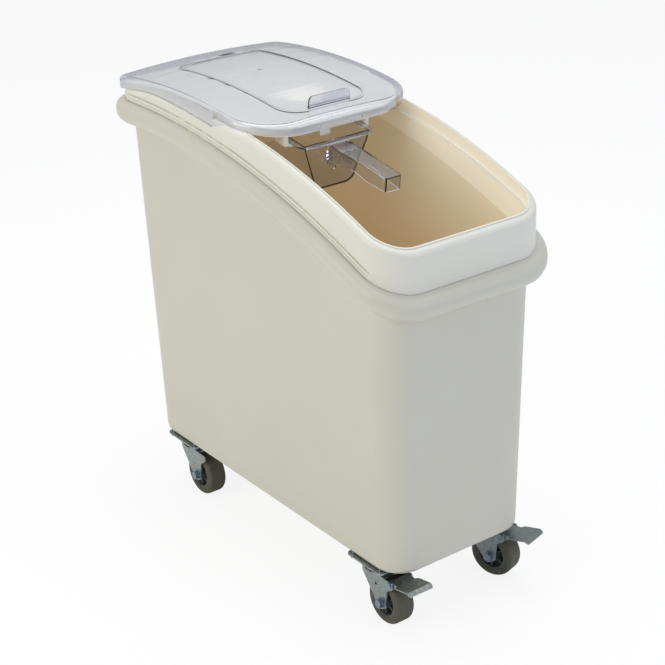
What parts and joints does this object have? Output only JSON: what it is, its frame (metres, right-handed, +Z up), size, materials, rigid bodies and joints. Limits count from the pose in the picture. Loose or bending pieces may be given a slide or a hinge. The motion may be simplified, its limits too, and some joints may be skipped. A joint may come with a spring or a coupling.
{
  "type": "mobile ingredient bin",
  "caption": "Tall narrow ingredient bin on swivel castors with a curved rim, a clear lid that slides back along it and a scoop hung inside.",
  "frame": {"origin": "on the floor, at the centre of the bounding box's footprint", "axes": "+Z up; the low front end of the bin faces -Y; +X is to the right seen from behind the front end, looking along +Y"},
  "size_m": [0.33, 0.743, 0.7457],
  "materials": {
    "tub_polyethylene": "satin moulded polyethylene, warm ivory grey",
    "rim_plastic": "semi-gloss ivory moulding",
    "clear_polycarbonate": "clear, glossy",
    "zinc_plate": "bright zinc plated, pressed",
    "bright_bolts": "blue zinc plated",
    "ball_steel": "plain turned steel",
    "wheel_rubber": "matte taupe grey",
    "wheel_core_plastic": "matte grey moulding"
  },
  "bodies": {
    "bin": {"tub": "tub_polyethylene", "rim_collar": "rim_plastic", "rear_lid": "rim_plastic", "scoop_rail_left": "rim_plastic", "scoop_rail_right": "rim_plastic", "front_left_top_plate": "zinc_plate", "front_left_plate_bolts": "bright_bolts", "front_left_race_cup": "zinc_plate", "front_left_ball_ring": "ball_steel", "front_left_king_pin": "zinc_plate", "front_right_top_plate": "zinc_plate", "front_right_plate_bolts": "bright_bolts", "front_right_race_cup": "zinc_plate", "front_right_ball_ring": "ball_steel", "front_right_king_pin": "zinc_plate", "rear_left_top_plate": "zinc_plate", "rear_left_plate_bolts": "bright_bolts", "rear_left_race_cup": "zinc_plate", "rear_left_ball_ring": "ball_steel", "rear_left_king_pin": "zinc_plate", "rear_right_top_plate": "zinc_plate", "rear_right_plate_bolts": "bright_bolts", "rear_right_race_cup": "zinc_plate", "rear_right_ball_ring": "ball_steel", "rear_right_king_pin": "zinc_plate"},
    "lid": {"sliding_lid": "clear_polycarbonate"},
    "scoop": {"scoop": "clear_polycarbonate"},
    "front_left_swivel": {"front_left_fork": "zinc_plate", "front_left_axle_bolt": "bright_bolts", "front_left_axle_nut": "bright_bolts", "front_left_axle_sleeve": "ball_steel", "front_left_brake_pivot": "bright_bolts"},
    "front_left_wheel": {"front_left_tread": "wheel_rubber", "front_left_wheel_core": "wheel_core_plastic"},
    "front_left_brake": {"front_left_brake_pedal": "zinc_plate"},
    "front_right_swivel": {"front_right_fork": "zinc_plate", "front_right_axle_bolt": "bright_bolts", "front_right_axle_nut": "bright_bolts", "front_right_axle_sleeve": "ball_steel", "front_right_brake_pivot": "bright_bolts"},
    "front_right_wheel": {"front_right_tread": "wheel_rubber", "front_right_wheel_core": "wheel_core_plastic"},
    "front_right_brake": {"front_right_brake_pedal": "zinc_plate"},
    "rear_left_swivel": {"rear_left_fork": "zinc_plate", "rear_left_axle_bolt": "bright_bolts", "rear_left_axle_nut": "bright_bolts", "rear_left_axle_sleeve": "ball_steel"},
    "rear_left_wheel": {"rear_left_tread": "wheel_rubber", "rear_left_wheel_core": "wheel_core_plastic"},
    "rear_right_swivel": {"rear_right_fork": "zinc_plate", "rear_right_axle_bolt": "bright_bolts", "rear_right_axle_nut": "bright_bolts", "rear_right_axle_sleeve": "ball_steel"},
    "rear_right_wheel": {"rear_right_tread": "wheel_rubber", "rear_right_wheel_core": "wheel_core_plastic"}
  },
  "joints": [
    {"name": "lid_slide", "type": "hinge", "parent": "bin", "child": "lid", "pos_m": [0, 0.139, -0.475], "axis": [1, 0, 0], "range_deg": [0, 14.9]},
    {"name": "scoop_slide", "type": "slide", "parent": "bin", "child": "scoop", "axis": [0, -0.9877, -0.1564], "range_m": [0, 0.04]},
    {"name": "front_left_swivel_turn", "type": "hinge", "parent": "bin", "child": "front_left_swivel", "pos_m": [-0.1014, -0.261, 0.08], "axis": [0, 0, 1], "continuous": true},
    {"name": "front_left_wheel_spin", "type": "hinge", "parent": "front_left_swivel", "child": "front_left_wheel", "pos_m": [-0.1014, -0.2867, 0.0375], "axis": [1, 0, 0], "continuous": true},
    {"name": "front_left_brake_press", "type": "hinge", "parent": "front_left_swivel", "child": "front_left_brake", "pos_m": [-0.1014, -0.307, 0.0785], "axis": [1, 0, 0], "range_deg": [0, 9]},
    {"name": "front_right_swivel_turn", "type": "hinge", "parent": "bin", "child": "front_right_swivel", "pos_m": [0.1014, -0.261, 0.08], "axis": [0, 0, 1], "continuous": true},
    {"name": "front_right_wheel_spin", "type": "hinge", "parent": "front_right_swivel", "child": "front_right_wheel", "pos_m": [0.10848, -0.2857, 0.0375], "axis": [0.9613, 0.2756, 0], "continuous": true},
    {"name": "front_right_brake_press", "type": "hinge", "parent": "front_right_swivel", "child": "front_right_brake", "pos_m": [0.11408, -0.30522, 0.0785], "axis": [0.9613, 0.2756, 0], "range_deg": [0, 9]},
    {"name": "rear_left_swivel_turn", "type": "hinge", "parent": "bin", "child": "rear_left_swivel", "pos_m": [-0.1014, 0.247, 0.08], "axis": [0, 0, 1], "continuous": true},
    {"name": "rear_left_wheel_spin", "type": "hinge", "parent": "rear_left_swivel", "child": "rear_left_wheel", "pos_m": [-0.1014, 0.2213, 0.0375], "axis": [1, 0, 0], "continuous": true},
    {"name": "rear_right_swivel_turn", "type": "hinge", "parent": "bin", "child": "rear_right_swivel", "pos_m": [0.1014, 0.247, 0.08], "axis": [0, 0, 1], "continuous": true},
    {"name": "rear_right_wheel_spin", "type": "hinge", "parent": "rear_right_swivel", "child": "rear_right_wheel", "pos_m": [0.1014, 0.2213, 0.0375], "axis": [1, 0, 0], "continuous": true}
  ]
}
